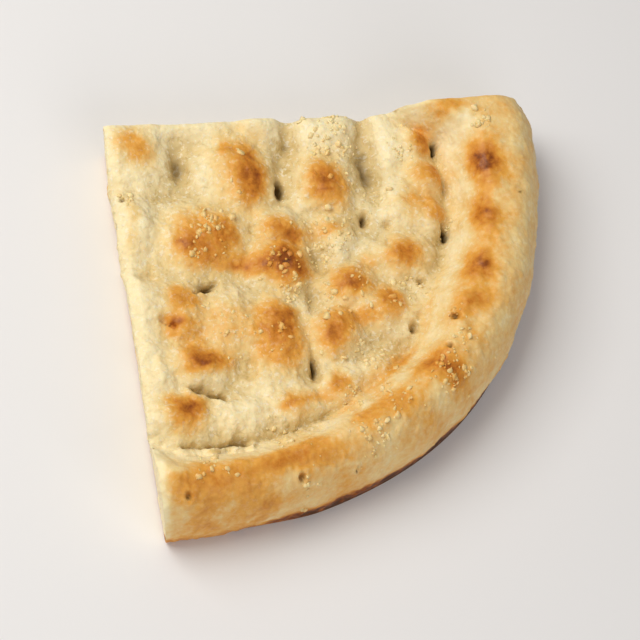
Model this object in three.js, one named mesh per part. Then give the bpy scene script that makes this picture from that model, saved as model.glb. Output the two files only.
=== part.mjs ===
// A quarter wedge of a round finger-dimpled naan, lying flat on its underside.
// One closed body, in millimetres, +Z up, with the origin under the middle of its box.
// Loaf axes while it is shaped: the loaf's centre at (0, 0), one cut along +X and the other along -Y.
import * as THREE from "three";

// Plan of the round: a superellipse, a little wider than it is deep.
const LOAF_HALF_WIDTH = 103;
const LOAF_HALF_DEPTH = 94.5;
const OUTLINE_POWER = 2.25;
const OUTLINE_WAVE = 0.9;
const WEDGE_ANGLE = THREE.MathUtils.degToRad(88.6);
const CUT_BULGE = 1.4;

// Raised rim, measured inwards from the widest line of the outer wall.
// It narrows from the +X cut to the other cut, between two angles of the round.
const RIM_HEIGHT = 21.5;
const RIM_WIDE = 25;
const RIM_NARROW = 17.5;
const RIM_NARROWS_FROM = THREE.MathUtils.degToRad(30);
const RIM_NARROWS_TO = THREE.MathUtils.degToRad(65);
const RIM_INNER_SLOPE = 8;
const WALL_INSET = 10;
const WALL_WIDEST_HEIGHT = 7;
const WALL_TUCK = 2;

// Dimpled middle.
const MIDDLE_HEIGHT = 13.2;
const GROOVE_DEPTH = 2.2;
const GROOVE_HALF_WIDTH = 3.2;
const CUSHION_RISE = 2.6;
const DENT_DEPTH = 3.2;

// Mesh fineness: squares along each cut, the share of them on the outer wall,
// and the share of those above the wall's widest line.
const SQUARES = 46;
const WALL_SHARE = 0.15;
const UPPER_WALL_SHARE = 0.7;

const CRUST = new THREE.MeshStandardMaterial({
  name: "baked_crust",
  color: 0xe3b66e,
  roughness: 0.8,
  metalness: 0,
});

// Puffed cushions between the finger dents: x, y, half width, half depth.
const CUSHIONS = [
  [7, -6, 6, 6],
  [29, -12, 6, 8],
  [48, -16, 5, 7],
  [73, -6, 4, 5],
  [73, -16, 5, 5],
  [70, -24, 5, 4],
  [18, -28, 8, 7],
  [36, -26, 6, 4],
  [36, -35, 6, 5],
  [64, -34, 5, 5],
  [51, -41, 5, 5],
  [11, -44, 5, 6],
  [31, -50, 6, 8],
  [46, -52, 6, 5],
  [59, -45, 5, 4],
  [13, -57, 6, 4],
  [8, -68, 5, 4],
  [33, -68, 6, 4],
  [44, -65, 4, 4],
];

// Finger dents: x, y, half width, half depth.
const DENTS = [
  [16, -11, 4, 6],
  [39, -16, 3, 6],
  [60, -12, 4, 9],
  [56.5, -26, 4, 4],
  [75, -31, 3, 5],
  [67, -42, 4, 4],
  [31, -27, 3, 4],
  [18, -40, 4, 3],
  [43, -42, 3, 5],
  [61, -54, 4, 4],
  [39, -60, 3, 5],
  [24, -60, 4, 4],
  [50, -58, 5, 4],
  [15, -75, 7, 3],
];

const bell = (x, y, [cx, cy, a, b]) => Math.exp(-(((x - cx) / a) ** 2) - ((y - cy) / b) ** 2);
const smooth = (low, high, value) => THREE.MathUtils.smoothstep(value, low, high);

// Distance from the loaf's centre to the widest line of its wall, at an angle down from the +X cut.
function wallReach(angle) {
  const across = Math.abs(Math.cos(angle) / LOAF_HALF_WIDTH) ** OUTLINE_POWER;
  const along = Math.abs(Math.sin(angle) / LOAF_HALF_DEPTH) ** OUTLINE_POWER;
  return (across + along) ** (-1 / OUTLINE_POWER) + OUTLINE_WAVE * Math.sin(5 * angle - 1.8) * Math.sin(2 * angle);
}

// Height of the upper crust at a plan point, without the roll-over of the outer wall.
function crustHeight(x, y) {
  const angle = Math.atan2(-y, x);
  const inset = wallReach(angle) - Math.hypot(x, y);
  const rimWidth = RIM_WIDE - (RIM_WIDE - RIM_NARROW) * smooth(RIM_NARROWS_FROM, RIM_NARROWS_TO, angle);
  const rim = 1 - smooth(rimWidth - RIM_INNER_SLOPE, rimWidth, inset);
  const groove = GROOVE_DEPTH * Math.exp(-(((inset - rimWidth) / GROOVE_HALF_WIDTH) ** 2));
  const puff = CUSHIONS.reduce((sum, cushion) => sum + bell(x, y, cushion), 0);
  const pressed = DENTS.reduce((sum, dent) => sum + bell(x, y, dent), 0);
  const middle = CUSHION_RISE * Math.min(puff, 1) - DENT_DEPTH * Math.min(pressed, 1);
  return MIDDLE_HEIGHT + (RIM_HEIGHT - MIDDLE_HEIGHT) * rim + (1 - rim) * middle - groove;
}

// The left cut bows outwards a little at mid-length, and not at all at its ends or at the base.
function bowed(x, y, z, share) {
  const bow = CUT_BULGE * Math.sin(Math.PI * share) * Math.min(z / WALL_WIDEST_HEIGHT, 1);
  const reach = Math.max(Math.hypot(x, y), 1);
  const nearLeftCut = Math.max(1 - (2 * x) / reach, 0);
  return [x - bow * nearLeftCut, y, z];
}

// A point of the upper skin. share runs from 0 at the loaf's centre to 1 where the wall meets the base.
function skinPoint(angle, share) {
  const wallTop = wallReach(angle) - WALL_INSET;
  const direction = [Math.cos(angle), -Math.sin(angle)];
  if (share <= 1 - WALL_SHARE) {
    const reach = (wallTop * share) / (1 - WALL_SHARE);
    const [x, y] = direction.map((part) => part * reach);
    return bowed(x, y, crustHeight(x, y), share);
  }
  const down = (share - 1 + WALL_SHARE) / WALL_SHARE;
  const [topX, topY] = direction.map((part) => part * wallTop);
  const upper = Math.min(down / UPPER_WALL_SHARE, 1) * (Math.PI / 2);
  const lower = Math.max((down - UPPER_WALL_SHARE) / (1 - UPPER_WALL_SHARE), 0) * (Math.PI / 2);
  const reach = wallTop + WALL_INSET * Math.sin(upper) - WALL_TUCK * (1 - Math.cos(lower));
  const fall = (crustHeight(topX, topY) - WALL_WIDEST_HEIGHT) * Math.cos(upper);
  const z = lower > 0 ? WALL_WIDEST_HEIGHT * (1 - Math.sin(lower)) : WALL_WIDEST_HEIGHT + fall;
  return bowed(direction[0] * reach, direction[1] * reach, z, share);
}

// A square of SQUARES by SQUARES cells wrapped onto the quarter round, with its corner at the loaf's centre.
function squareToQuarter(column, row) {
  const u = column / SQUARES;
  const v = row / SQUARES;
  const across = u * Math.sqrt(1 - (v * v) / 2);
  const down = v * Math.sqrt(1 - (u * u) / 2);
  const share = Math.min(Math.hypot(across, down), 1);
  const turn = share > 0 ? Math.atan2(down, across) / (Math.PI / 2) : 0;
  return skinPoint(turn * WEDGE_ANGLE, share);
}

function wedgeGeometry() {
  const points = [];
  const triangles = [];
  const addPoint = (x, y, z) => points.push(new THREE.Vector3(x, y, z)) - 1;
  const addTriangle = (a, b, c) => {
    if (a !== b && b !== c && c !== a) triangles.push(a, b, c);
  };

  // Upper skin: the dimpled top, the rim and the outer wall down to the base.
  const skin = [];
  for (let column = 0; column <= SQUARES; column++) {
    skin.push([]);
    for (let row = 0; row <= SQUARES; row++) {
      const [x, y, z] = squareToQuarter(column, row);
      const onBase = column === SQUARES || row === SQUARES;
      skin[column].push(addPoint(x, y, onBase ? 0 : z));
    }
  }
  for (let column = 0; column < SQUARES; column++) {
    for (let row = 0; row < SQUARES; row++) {
      const [a, b] = [skin[column][row], skin[column + 1][row]];
      const [c, d] = [skin[column][row + 1], skin[column + 1][row + 1]];
      addTriangle(a, c, b);
      addTriangle(b, c, d);
    }
  }

  // The two cut faces, each one strip from the skin's edge down to an even row of points on the base.
  const loafCentre = addPoint(0, 0, 0);
  const rightEdge = skin.map((rows) => rows[0]);
  const leftEdge = skin[0];
  const footOf = (edge) => {
    const corner = points[edge[SQUARES]];
    const foot = (index) => addPoint((corner.x * index) / SQUARES, (corner.y * index) / SQUARES, 0);
    return edge.map((top, index) => (index === 0 ? loafCentre : index === SQUARES ? top : foot(index)));
  };
  const rightFoot = footOf(rightEdge);
  const leftFoot = footOf(leftEdge);
  for (let index = 0; index < SQUARES; index++) {
    addTriangle(rightEdge[index], rightEdge[index + 1], rightFoot[index]);
    addTriangle(rightFoot[index], rightEdge[index + 1], rightFoot[index + 1]);
    addTriangle(leftEdge[index + 1], leftEdge[index], leftFoot[index]);
    addTriangle(leftEdge[index + 1], leftFoot[index], leftFoot[index + 1]);
  }

  // The flat base: a fan from a point well inside it to the whole of its edge.
  const hub = addPoint(LOAF_HALF_WIDTH / 3, -LOAF_HALF_DEPTH / 3, 0);
  const farWall = skin[SQUARES].slice(1);
  const nearWall = skin.map((rows) => rows[SQUARES]).reverse().slice(1, -1);
  const rim = [...rightFoot, ...farWall, ...nearWall, ...leftFoot.slice(1).reverse()];
  rim.forEach((point, index) => addTriangle(hub, point, rim[(index + 1) % rim.length]));

  const geometry = new THREE.BufferGeometry().setFromPoints(points).setIndex(triangles);
  geometry.computeBoundingBox();
  const middle = geometry.boundingBox.getCenter(new THREE.Vector3());
  geometry.translate(-middle.x, -middle.y, 0);
  geometry.computeVertexNormals();
  return geometry;
}

const wedge = new THREE.Mesh(wedgeGeometry(), CRUST);
wedge.name = "naan_wedge";

const naan = new THREE.Group();
naan.add(wedge);

export default naan;
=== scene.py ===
"""A quarter wedge of round, finger-dimpled naan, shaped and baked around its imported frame.

Inside the shaping functions every length is in millimetres, on the loaf's own axes: the centre of
the round at (0, 0), one cut along +X and the other along -Y. The meshes are written in metres.
"""

import math
from collections import namedtuple

import bmesh
import bpy
import numpy as np
from bpy.props import FloatProperty, FloatVectorProperty, IntProperty, PointerProperty
from mathutils import Matrix, Vector
from mathutils.geometry import delaunay_2d_cdt


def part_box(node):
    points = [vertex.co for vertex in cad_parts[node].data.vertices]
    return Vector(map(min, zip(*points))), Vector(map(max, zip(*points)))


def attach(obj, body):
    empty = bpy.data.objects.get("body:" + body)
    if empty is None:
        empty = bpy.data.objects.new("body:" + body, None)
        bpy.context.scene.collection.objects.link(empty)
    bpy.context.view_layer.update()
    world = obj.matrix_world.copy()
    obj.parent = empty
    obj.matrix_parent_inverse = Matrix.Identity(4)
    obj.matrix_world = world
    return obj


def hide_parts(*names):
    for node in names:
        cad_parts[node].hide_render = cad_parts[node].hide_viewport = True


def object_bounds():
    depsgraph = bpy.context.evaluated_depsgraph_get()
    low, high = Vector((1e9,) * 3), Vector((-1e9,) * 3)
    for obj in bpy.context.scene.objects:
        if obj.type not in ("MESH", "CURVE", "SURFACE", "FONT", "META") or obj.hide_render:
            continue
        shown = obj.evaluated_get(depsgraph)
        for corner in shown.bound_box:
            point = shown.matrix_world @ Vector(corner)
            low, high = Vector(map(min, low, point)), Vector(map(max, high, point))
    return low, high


bl_info = {
    "name": "Naan wedge",
    "version": (1, 0, 0),
    "blender": (4, 5, 0),
    "location": "3D View > Sidebar > Naan",
    "description": "Shapes, bakes and lights a cut wedge of dimpled flatbread",
    "category": "Add Mesh",
}

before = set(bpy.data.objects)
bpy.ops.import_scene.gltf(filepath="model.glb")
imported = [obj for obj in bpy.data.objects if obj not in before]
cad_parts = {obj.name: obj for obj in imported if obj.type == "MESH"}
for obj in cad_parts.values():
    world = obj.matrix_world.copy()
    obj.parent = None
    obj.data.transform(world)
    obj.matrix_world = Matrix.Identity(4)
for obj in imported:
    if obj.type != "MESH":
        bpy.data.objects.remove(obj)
CAD_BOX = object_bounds()
WEDGE_NODE = "naan_wedge"
MM = 0.001

# Puffed cushions of the dimpled middle: x, y, half width, half depth, rise.
CUSHIONS = [
    (4, -4, 10, 9, 4.6),
    (14, 2, 8, 5, 3.6),
    (29, -12, 8.5, 9.5, 4.7),
    (48.5, -15.5, 7, 8.5, 4.5),
    (51, -2, 8.4, 6, 4.5),
    (25, 0, 8, 4.5, 3.4),
    (36.5, 0.5, 7, 5, 4.8),
    (65.6, -5, 4.8, 8, 3.9),
    (68, 1, 5, 4, 5),
    (71.8, -7, 4.6, 5, 4.6),
    (73, -15.5, 4.8, 4.8, 4.8),
    (66, -21, 6.8, 6.6, 4),
    (72.5, -24, 4.5, 4.5, 4.2),
    (18, -27.5, 9.5, 8, 5),
    (3.5, -24, 5, 8, 4.3),
    (36, -26, 6.2, 4.3, 4.2),
    (35.5, -35, 7.6, 5.6, 4.8),
    (48, -29.5, 6.8, 5.2, 3.4),
    (64, -34, 6.6, 5.8, 4.6),
    (51, -40.5, 6.6, 5.2, 4.6),
    (3, -42, 6, 8, 4.2),
    (11, -45, 5.8, 6.6, 4),
    (22, -47, 6.6, 7.2, 3.9),
    (32, -51, 7, 8.6, 4.8),
    (46, -52, 6.2, 6.2, 4.7),
    (57.5, -46, 6.2, 4.8, 4.6),
    (3, -58, 6, 8, 3.9),
    (14, -57, 7.2, 4.8, 4.3),
    (29, -62.5, 6.2, 4.4, 2.8),
    (8, -69, 7.5, 5.6, 4.6),
    (21, -69.5, 8, 4, 3.2),
    (33.5, -68, 7.2, 4.4, 3.6),
    (44.5, -64.5, 5.8, 4.8, 4),
    (54, -63, 6.6, 4.8, 3.4),
    (66, -50, 6, 5.4, 3),
    (70, -43.5, 4.5, 6, 2.4),
]

# Finger dents pressed between them: x, y, half width, half depth, depth.
DENTS = [
    (16.6, -9.4, 2, 4.2, 2.6),
    (15.5, -17, 4, 1.8, 0.9),
    (38.8, -16.2, 1, 2.4, 3.9),
    (40.8, -11, 2.4, 8, 1.6),
    (43.4, -4, 2.2, 6, 2.2),
    (60.8, -11.5, 2.6, 11, 2.8),
    (45.2, -32, 2.4, 5, 2.8),
    (57.4, -24.8, 1, 1.5, 3.6),
    (62.4, -26.6, 1.2, 0.8, 1.4),
    (77.4, -7.4, 0.8, 1.8, 5.4),
    (77.8, -18, 0.9, 2.2, 1.2),
    (76, -29, 0.8, 2.4, 3.9),
    (68, -41, 0.9, 0.9, 2.6),
    (64, -52, 0.9, 1.5, 3.6),
    (31, -26.5, 1.8, 1.6, 1.4),
    (18.4, -39.2, 1.8, 0.8, 2.6),
    (42, -43, 1.4, 4.6, 1.6),
    (39.8, -59.4, 0.9, 2.8, 3.9),
    (25.2, -59, 1.2, 2.6, 1.6),
    (50.6, -57.5, 2.4, 1.6, 0.6),
    (5.2, -36.4, 2.2, 1, 1),
    (3.6, -57, 1.5, 2.6, 1.2),
    (48, -22.6, 5, 1.2, 0.9),
    (61.4, -31.5, 1, 1, 1.6),
    (65.6, -49.4, 1.2, 1, 1.2),
]

# Small popped bubbles: x, y, radius, depth.
POPPED = [
    (1.8, -17.8, 0.6, 1.2),
    (30.6, -86.4, 0.65, 1.8),
    (4.6, -89.2, 0.6, 1),
    (68.4, -60, 0.6, 1.4),
    (71.2, -52.9, 0.75, 1),
    (92, -24, 0.3, 0.4),
    (44, -85, 0.3, 0.4),
]

# Creases where a cushion's skin has pulled away from the dough below it: x, y of the two ends,
# half width, depth, and the rise of the lip on the rim's side.
TEARS = [
    (9, -75.8, 14.6, -76, 0.55, 1, 1.3),
    (14.2, -76.2, 21.8, -75.8, 0.5, 2.3, 1.6),
    (22.5, -75.4, 29, -75, 0.5, 0.5, 1),
    (29.5, -75.2, 37.5, -71.8, 0.5, 0.4, 0.6),
    (12.2, -62.8, 19, -65.2, 0.6, 2.4, 1.2),
    (15.6, -40.8, 20.2, -38.2, 0.5, 1.6, 0.5),
    (7.8, -46.6, 10.2, -48.8, 0.5, 1.2, 0.2),
    (38.5, -71.6, 46.5, -68.8, 0.5, 0.5, 0.5),
]

# Browned patches: x, y, half width, half depth, strength from 0 to 1.
BROWNED = [
    (7, -6.2, 3.2, 3.2, 0.44),
    (4, -3.4, 2.6, 2, 0.26),
    (30.6, -12.4, 4.6, 7, 0.56),
    (32.4, -15.2, 2.2, 3.6, 0.55),
    (32, -9.4, 1.8, 1.8, 0.45),
    (27, -7, 2, 1.6, 0.3),
    (48.4, -16.2, 3.8, 5.2, 0.58),
    (47.6, -15, 2, 2.6, 0.34),
    (52.6, -18.6, 2.8, 4, 0.28),
    (73.8, -6.2, 3.2, 3.2, 0.46),
    (74.2, -7.2, 1.6, 1.6, 0.35),
    (73.8, -15.4, 3.6, 2.8, 0.55),
    (70.2, -22.2, 4.6, 3.2, 0.34),
    (74.2, -24.8, 2.2, 2.4, 0.36),
    (18.8, -27.6, 6.4, 5.6, 0.5),
    (14.6, -29, 2.2, 2.4, 0.52),
    (23.4, -27.2, 2.4, 2.6, 0.55),
    (20, -32.6, 6, 2.4, 0.42),
    (26.8, -34.8, 2.6, 1.4, 0.55),
    (36.4, -26.6, 3.6, 2.4, 0.62),
    (39.6, -28.6, 2.2, 1.8, 0.55),
    (35.6, -34.4, 4.8, 3.2, 0.8),
    (37.2, -33, 2.2, 1.6, 0.4),
    (38.4, -37.4, 3.4, 2.6, 0.62),
    (31.6, -34.8, 2.4, 1.8, 0.5),
    (48.6, -27.2, 3.6, 1.8, 0.3),
    (44.6, -29, 2.6, 2, 0.24),
    (64.4, -34, 4, 3.8, 0.44),
    (64, -34.6, 2.2, 2.2, 0.36),
    (55.6, -35.6, 2.4, 2.2, 0.24),
    (50.6, -40.4, 3.8, 3.2, 0.56),
    (52.2, -41.8, 2.4, 1.6, 0.45),
    (46.6, -41.4, 2, 2, 0.32),
    (11.6, -42, 3.8, 2.8, 0.5),
    (9.6, -48.2, 3, 2.2, 0.48),
    (9.2, -47.8, 1.4, 1.2, 0.6),
    (13.6, -50.6, 3, 3, 0.24),
    (20.6, -48, 5.2, 5, 0.2),
    (12.6, -56.4, 3.6, 2.6, 0.66),
    (16.6, -57.2, 4, 2, 0.46),
    (31.8, -49.8, 4.5, 5, 0.56),
    (33.8, -47.4, 2, 1.8, 0.42),
    (34.8, -51.2, 1.8, 1.6, 0.45),
    (33, -56, 4.2, 4.6, 0.44),
    (45, -52.6, 3.4, 3.8, 0.52),
    (44.2, -53.4, 1.6, 1.8, 0.34),
    (50.8, -49, 5, 2.2, 0.4),
    (58.6, -44.8, 2.8, 3, 0.6),
    (61.6, -46.6, 2, 2, 0.26),
    (8.2, -67.8, 3.8, 3.2, 0.62),
    (9.6, -67.4, 2, 2, 0.38),
    (8, -71, 3, 2, 0.14),
    (33, -68.2, 3, 2, 0.48),
    (38.6, -66.8, 3.4, 1.8, 0.32),
    (43.6, -64.2, 2, 2.4, 0.48),
    (3.4, -21, 1.4, 3.2, 0.16),
    (2.8, -27.4, 1.3, 3.2, 0.1),
    (5.6, -35, 2.6, 2, 0.14),
    (78.8, -1.2, 3.2, 2, 0.46),
    (81, -1.8, 1.8, 1.4, 0.16),
    (84.8, -15.8, 3.5, 4.4, 0.72),
    (85.2, -16.4, 2.2, 2.2, 0.42),
    (83.2, -11.8, 2, 2, 0.2),
    (82.3, -28.2, 2.8, 4.4, 0.68),
    (83, -22.4, 2.4, 3, 0.12),
    (78.8, -41.2, 3.6, 3.4, 0.62),
    (79.4, -40.4, 1.6, 2, 0.4),
    (76.2, -49.8, 3.6, 2.4, 0.44),
    (80.4, -34.6, 2.6, 3, 0.14),
    (63, -63.4, 6.6, 3.4, 0.5),
    (65.6, -64, 2.8, 2, 0.26),
    (68.6, -67.2, 3, 2.6, 0.44),
    (62, -59.4, 4, 2.6, 0.3),
    (46.4, -74, 4.2, 3, 0.46),
    (52, -71.4, 4, 3, 0.26),
    (27.6, -82.4, 9, 2.8, 0.48),
    (25, -84.4, 2, 1.8, 0.36),
    (33.6, -78.6, 5.6, 3, 0.4),
    (12.6, -85.8, 7.6, 4, 0.42),
    (4.6, -86, 3.4, 3.4, 0.34),
    (9, -92, 3.4, 2.4, 0.3),
    (22, -91.6, 4.6, 2, 0.3),
    (88, -22, 3, 9, 0.12),
    (86.6, -9, 3, 4, 0.08),
    (74, -45, 4.6, 5, 0.24),
    (69.4, -52, 5, 4, 0.26),
    (71.2, -52.7, 1.6, 1.5, 0.3),
    (60, -60.4, 6, 3.4, 0.22),
    (51, -67, 6, 3.4, 0.26),
    (56, -72, 5, 4, 0.2),
    (22, -54, 12, 8, 0.12),
    (50, -49, 6, 3, 0.1),
]

# Semolina that stuck to the dough: x, y, spread, number of grains.
GRAIN_PATCHES = [
    (20, -24.5, 3.4, 26),
    (15.6, -31.6, 2, 10),
    (29.4, -8, 1.4, 3),
    (37, -40.2, 3.4, 22),
    (35.6, -34.6, 3.2, 16),
    (51.8, -3.6, 5.2, 26),
    (53.6, -9, 4.6, 18),
    (49.6, -28, 4.8, 26),
    (46.2, -33, 3.4, 14),
    (52.4, -40, 1.8, 4),
    (46.6, -68, 2.8, 12),
    (67.2, -66.4, 3.4, 30),
    (72.6, -58.2, 3, 10),
    (71, -52.4, 1.6, 7),
    (54.4, -70.6, 5, 16),
    (48, -78.8, 4.4, 24),
    (76.4, -28, 1.5, 6),
    (2.4, -16.6, 1.8, 7),
    (86.4, -5.2, 2.6, 12),
    (68, -9.6, 3.2, 12),
    (62, -19.8, 3.2, 8),
    (64.4, -42.6, 3, 12),
    (50.4, -57.4, 3, 10),
    (33.4, -53.4, 3, 8),
    (22.4, -50.6, 4, 10),
    (10, -83, 3.6, 14),
    (32, -88, 3.4, 8),
    (28, -74.6, 5, 12),
    (45, -45, 4, 12),
    (60, -60, 14, 26),
    (40, -30, 26, 30),
]


def colour(hex_code):
    """The scene-linear colour of a six-digit display colour."""
    channels = [int(hex_code[at:at + 2], 16) / 255 for at in (0, 2, 4)]
    return tuple(c / 12.92 if c <= 0.04045 else ((c + 0.055) / 1.055) ** 2.4 for c in channels)


def length_property(label, description, default):
    return FloatProperty(name=label, description=description, default=default, min=0.0, unit="LENGTH")


def angle_property(label, description, degrees):
    turn = math.radians(degrees)
    return FloatProperty(name=label, description=description, default=turn, subtype="ANGLE")


def colour_property(label, description, hex_code):
    return FloatVectorProperty(
        name=label, description=description, default=colour(hex_code), subtype="COLOR", min=0.0, max=1.0
    )


class NaanShape(bpy.types.PropertyGroup):
    """Sizes of the wedge and the fineness of its mesh."""

    half_width: length_property("Half width", "From the centre to the rim, along the first cut", 0.103)
    half_depth: length_property("Half depth", "From the centre to the rim, along the second cut", 0.0945)
    rim_height: length_property("Rim height", "Height of the rim's crest", 0.0213)
    middle_height: length_property("Middle height", "Height of the dough between cushions", 0.0104)
    rim_share: FloatProperty(
        name="Rim share", description="Scales its width", default=1.0, min=0.5, max=1.5, subtype="FACTOR"
    )
    squares: IntProperty(name="Squares", description="Mesh squares along each cut", default=256, min=16)
    cut_rows: IntProperty(name="Cut rows", description="Mesh rows up each cut face", default=32, min=4)
    seed: IntProperty(name="Seed", description="Changes the crumb, the relief and the grains", default=7)


class NaanColours(bpy.types.PropertyGroup):
    """Colours from raw-looking dough to the darkest baked spots."""

    pale: colour_property("Pale dough", "Unbrowned crust", "F9E8BA")
    warm: colour_property("Warm dough", "First tint of baking", "EFCF8E")
    golden: colour_property("Golden", "Golden crust", "E6A647")
    brown: colour_property("Brown", "Well browned cushion tops", "CC8028")
    dark: colour_property("Dark", "Darkest spots of the rim", "944D14")
    # Also the colour of the painted contact shadow on the scorched foot of the wall.
    burnt: colour_property("Burnt", "Scorched foot of the outer wall", "5A3214")
    flour: colour_property("Dry flecks", "Dry, floury flecks of the pale skin", "FBF3DC")
    # Painted shade of small dimples.
    dimple_shade: colour_property("Stain", "Little dimples of the pale skin", "BD9D57")
    # Partly the pressed dough's own tone, partly painted shade in the valleys.
    pressed: colour_property("Pressed dough", "Dough pressed by the fingers", "D1B477")
    # Painted shade deep in a dent.
    pit: colour_property("Pit", "Moist dough deep in a dent", "6E5222")
    crumb: colour_property("Crumb", "Cut crumb", "F9E8C0")
    # Painted shade inside a crumb bubble.
    pore: colour_property("Pore", "Inside of a crumb bubble", "E6C98E")
    grain: colour_property("Grain", "Semolina grains", "F4DDA8")
    floor: colour_property("Floor", "The pale table", "EAE8E9")


class NaanLight(bpy.types.PropertyGroup):
    """Camera and soft studio light."""

    view_azimuth: angle_property("View azimuth", "Camera's turn round the bread from +Y", -40.7)
    view_elevation: angle_property("View elevation", "Camera height above the table", 63.0)
    view_roll: angle_property("View roll", "Turn of the camera about its own axis", 33.8)
    view_distance: length_property("View distance", "From the camera to the bread", 0.685)
    lens: FloatProperty(
        name="Lens", description="Focal length in millimetres", default=174.0, subtype="DISTANCE_CAMERA"
    )
    key_power: FloatProperty(
        name="Key light", description="Power of the main softbox", default=5.6, subtype="POWER"
    )
    sky: FloatProperty(name="Room light", description="Strength of the white room", default=0.25)


# ---------------------------------------------------------------- shaping helpers


# One kind of unevenness: how far it reaches, its size in millimetres, its layers, and the shift
# that keeps it apart from the other kinds.
Pattern = namedtuple("Pattern", "amount size layers shift")


def smooth_step(low, high, value):
    """0 below low, 1 above high, and smooth between."""
    share = np.clip((value - low) / (high - low), 0.0, 1.0)
    return share * share * (3 - 2 * share)


class Unevenness:
    """Seeded smooth noise over points in millimetres, with values of about -1 to 1."""

    CELLS = 256
    GAIN = 1.6
    FAR_FROM_ZERO = 1000.0
    LAYER_SHIFT = 17.3
    LAYER_FADE = 1.8

    def __init__(self, seed):
        draw = np.random.default_rng(seed)
        self.order = np.concatenate([draw.permutation(self.CELLS)] * 3)
        slopes = draw.normal(size=(self.CELLS, 3))
        self.slopes = slopes / np.linalg.norm(slopes, axis=1)[:, None]

    def at(self, points, size, shift=0.0):
        scaled = np.asarray(points, float) / size + shift + self.FAR_FROM_ZERO
        cell = np.floor(scaled).astype(int)
        inside = scaled - cell
        fade = inside**3 * (inside * (inside * 6 - 15) + 10)
        cell %= self.CELLS
        total = np.zeros(scaled.shape[:-1])
        for corner in np.ndindex(2, 2, 2):
            step = np.array(corner)
            near = cell + step
            pick = self.order[self.order[self.order[near[..., 0]] + near[..., 1]] + near[..., 2]]
            slope = (self.slopes[pick] * (inside - step)).sum(-1)
            weight = np.where(step == 1, fade, 1 - fade).prod(-1)
            total += slope * weight
        return total * self.GAIN

    def layered(self, points, size, layers=3, shift=0.0):
        shifts = [shift + self.LAYER_SHIFT * k for k in range(layers)]
        return sum(self.at(points, size / 2**k, shifts[k]) / self.LAYER_FADE**k for k in range(layers))

    def after(self, points, pattern):
        """Unevenness that follows a pattern."""
        return pattern.amount * self.layered(points, pattern.size, pattern.layers, pattern.shift)


def in_plane(x, y, z=0.0):
    """Stacks plan coordinates into points for the noise."""
    return np.stack([x, y, np.broadcast_to(z, np.shape(x))], -1)


def net_normals(points):
    """Unit normals of a net of points."""
    normal = np.cross(np.gradient(points, axis=1), np.gradient(points, axis=0))
    return normal / np.maximum(np.linalg.norm(normal, axis=-1), 1e-9)[..., None]


def ellipse_distance(x, y, centre_x, centre_y, half_width, half_depth):
    return np.hypot((x - centre_x) / half_width, (y - centre_y) / half_depth)


def segment_offsets(x, y, x0, y0, x1, y1):
    """Distance from a crease, and the signed distance to the side that looks along its left."""
    along = np.array([x1 - x0, y1 - y0])
    length = np.hypot(*along)
    along = along / length
    travel = np.clip((x - x0) * along[0] + (y - y0) * along[1], 0, length)
    side = (x - x0) * -along[1] + (y - y0) * along[0]
    return np.hypot(x - x0 - travel * along[0], y - y0 - travel * along[1]), side


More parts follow.
